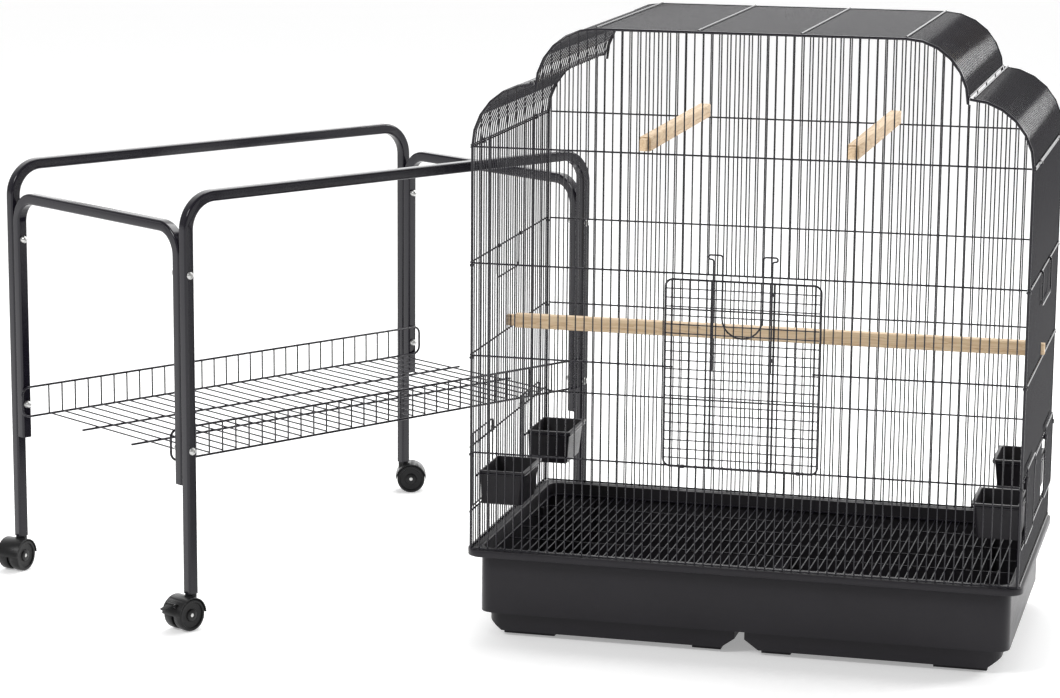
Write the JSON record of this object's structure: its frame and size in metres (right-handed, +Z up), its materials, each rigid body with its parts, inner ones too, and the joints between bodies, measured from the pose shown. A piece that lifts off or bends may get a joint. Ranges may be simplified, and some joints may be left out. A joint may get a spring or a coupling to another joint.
{
  "type": "bird cage on stand",
  "caption": "Black wire bird cage with a raised crown on a charcoal tub, beside its rolling tube stand with a wire shelf.",
  "frame": {"origin": "on the floor under the middle of the cage's tub", "axes": "+X along the cage's width to the right seen from the front, +Y towards the back, +Z up"},
  "size_m": [1.5816, 0.9667, 0.8806],
  "materials": {
    "black_wire": "gloss black powder coat",
    "black_tube": "gloss black powder coat",
    "charcoal_plastic": "satin moulded",
    "caster_plastic": "satin moulded",
    "wheel_plastic": "satin moulded",
    "zinc_steel": "bright zinc",
    "perch_wood": "bare turned softwood"
  },
  "bodies": {
    "tub": {"tub": "charcoal_plastic", "tub_rim": "charcoal_plastic", "tub_feet": "charcoal_plastic", "grille_ribs": "charcoal_plastic"},
    "grille": {"grille_frame": "black_tube", "floor_grille": "black_wire"},
    "wire_cage": {"front_arch": "black_wire", "back_arch": "black_wire", "front_wall": "black_wire", "back_wall": "black_wire", "left_wall": "black_wire", "right_wall": "black_wire", "left_shoulder": "black_wire", "right_shoulder": "black_wire", "crown_top": "black_wire", "left_crown_side": "black_wire", "right_crown_side": "black_wire", "panel_clips": "black_wire", "door_hinge_clips": "black_wire", "cup_door_guides": "black_wire", "cup_holders": "black_wire", "long_perch": "perch_wood", "left_perch": "perch_wood", "right_perch": "perch_wood"},
    "front_door": {"front_door": "black_wire"},
    "latch": {"front_latch": "black_wire"},
    "left_handle": {"left_handle": "black_wire"},
    "right_handle": {"right_handle": "black_wire"},
    "cup_front_left": {"cup_front_left": "charcoal_plastic"},
    "cup_door_front_left": {"cup_door_front_left": "black_wire"},
    "cup_back_left": {"cup_back_left": "charcoal_plastic"},
    "cup_door_back_left": {"cup_door_back_left": "black_wire"},
    "cup_front_right": {"cup_front_right": "charcoal_plastic"},
    "cup_door_front_right": {"cup_door_front_right": "black_wire"},
    "cup_back_right": {"cup_back_right": "charcoal_plastic"},
    "cup_door_back_right": {"cup_door_back_right": "black_wire"},
    "stand": {"front_rail_frame": "black_tube", "back_rail_frame": "black_tube", "left_end_frame": "black_tube", "right_end_frame": "black_tube", "frame_bolts": "zinc_steel", "frame_nuts": "zinc_steel", "leg_inserts": "caster_plastic", "shelf_floor": "black_wire", "shelf_front_edge": "black_wire", "shelf_back_edge": "black_wire"},
    "caster_back_left": {"caster_hood_back_left": "caster_plastic", "caster_pins_back_left": "zinc_steel"},
    "wheels_back_left": {"caster_wheels_back_left": "wheel_plastic"},
    "caster_front_left": {"caster_hood_front_left": "caster_plastic", "caster_pins_front_left": "zinc_steel"},
    "wheels_front_left": {"caster_wheels_front_left": "wheel_plastic"},
    "brake_front_left": {"brake_lever_front_left": "wheel_plastic"},
    "caster_back_right": {"caster_hood_back_right": "caster_plastic", "caster_pins_back_right": "zinc_steel"},
    "wheels_back_right": {"caster_wheels_back_right": "wheel_plastic"},
    "caster_front_right": {"caster_hood_front_right": "caster_plastic", "caster_pins_front_right": "zinc_steel"},
    "wheels_front_right": {"caster_wheels_front_right": "wheel_plastic"},
    "brake_front_right": {"brake_lever_front_right": "wheel_plastic"}
  },
  "joints": [
    {"name": "grille_lift", "type": "slide", "parent": "tub", "child": "grille", "axis": [0, 0, 1], "range_m": [0, 0.05]},
    {"name": "cage_lift", "type": "slide", "parent": "tub", "child": "wire_cage", "axis": [0, 0, 1], "range_m": [0, 0.15]},
    {"name": "door_hinge", "type": "hinge", "parent": "wire_cage", "child": "front_door", "pos_m": [0, -0.22427, 0.273], "axis": [1, 0, 0], "range_deg": [0, 145]},
    {"name": "latch_slide", "type": "slide", "parent": "front_door", "child": "latch", "axis": [0, 0, 1], "range_m": [0, 0.012]},
    {"name": "left_handle_hinge", "type": "hinge", "parent": "wire_cage", "child": "left_handle", "pos_m": [-0.38982, 0, 0.545], "axis": [0, 1, 0], "range_deg": [0, 100]},
    {"name": "right_handle_hinge", "type": "hinge", "parent": "wire_cage", "child": "right_handle", "pos_m": [0.38982, 0, 0.545], "axis": [0, -1, 0], "range_deg": [0, 100]},
    {"name": "cup_front_left_lift", "type": "slide", "parent": "wire_cage", "child": "cup_front_left", "axis": [0, 0, 1], "range_m": [0, 0.045]},
    {"name": "cup_door_front_left_slide", "type": "slide", "parent": "wire_cage", "child": "cup_door_front_left", "axis": [0, 0, 1], "range_m": [0, 0.07]},
    {"name": "cup_back_left_lift", "type": "slide", "parent": "wire_cage", "child": "cup_back_left", "axis": [0, 0, 1], "range_m": [0, 0.045]},
    {"name": "cup_door_back_left_slide", "type": "slide", "parent": "wire_cage", "child": "cup_door_back_left", "axis": [0, 0, 1], "range_m": [0, 0.07]},
    {"name": "cup_front_right_lift", "type": "slide", "parent": "wire_cage", "child": "cup_front_right", "axis": [0, 0, 1], "range_m": [0, 0.045]},
    {"name": "cup_door_front_right_slide", "type": "slide", "parent": "wire_cage", "child": "cup_door_front_right", "axis": [0, 0, 1], "range_m": [0, 0.07]},
    {"name": "cup_back_right_lift", "type": "slide", "parent": "wire_cage", "child": "cup_back_right", "axis": [0, 0, 1], "range_m": [0, 0.045]},
    {"name": "cup_door_back_right_slide", "type": "slide", "parent": "wire_cage", "child": "cup_door_back_right", "axis": [0, 0, 1], "range_m": [0, 0.07]},
    {"name": "stand_lift", "type": "slide", "parent": "tub", "child": "stand", "axis": [0, 0, 1], "range_m": [0, 0.1]},
    {"name": "caster_back_left_swivel", "type": "hinge", "parent": "stand", "child": "caster_back_left", "pos_m": [-1.1587, -0.03836, 0.06], "axis": [0, 0, 1], "continuous": true},
    {"name": "wheels_back_left_spin", "type": "hinge", "parent": "caster_back_left", "child": "wheels_back_left", "pos_m": [-1.16167, -0.05102, 0.0235], "axis": [-0.9736, 0.2284, 0], "continuous": true},
    {"name": "caster_front_left_swivel", "type": "hinge", "parent": "stand", "child": "caster_front_left", "pos_m": [-0.79002, -0.27962, 0.06], "axis": [0, 0, 1], "continuous": true},
    {"name": "wheels_front_left_spin", "type": "hinge", "parent": "caster_front_left", "child": "wheels_front_left", "pos_m": [-0.79616, -0.29108, 0.0235], "axis": [-0.8813, 0.4726, 0], "continuous": true},
    {"name": "brake_front_left_press", "type": "hinge", "parent": "caster_front_left", "child": "brake_front_left", "pos_m": [-0.80743, -0.31208, 0.04019], "axis": [0.8813, -0.4726, 0], "range_deg": [0, 12]},
    {"name": "caster_back_right_swivel", "type": "hinge", "parent": "stand", "child": "caster_back_right", "pos_m": [-0.73598, 0.60762, 0.06], "axis": [0, 0, 1], "continuous": true},
    {"name": "wheels_back_right_spin", "type": "hinge", "parent": "caster_back_right", "child": "wheels_back_right", "pos_m": [-0.72354, 0.61138, 0.0235], "axis": [0.289, -0.9573, 0], "continuous": true},
    {"name": "caster_front_right_swivel", "type": "hinge", "parent": "stand", "child": "caster_front_right", "pos_m": [-0.3673, 0.36636, 0.06], "axis": [0, 0, 1], "continuous": true},
    {"name": "wheels_front_right_spin", "type": "hinge", "parent": "caster_front_right", "child": "wheels_front_right", "pos_m": [-0.35864, 0.35667, 0.0235], "axis": [-0.7455, -0.6665, 0], "continuous": true},
    {"name": "brake_front_right_press", "type": "hinge", "parent": "caster_front_right", "child": "brake_front_right", "pos_m": [-0.34275, 0.3389, 0.04019], "axis": [0.7455, 0.6665, 0], "range_deg": [0, 12]}
  ]
}
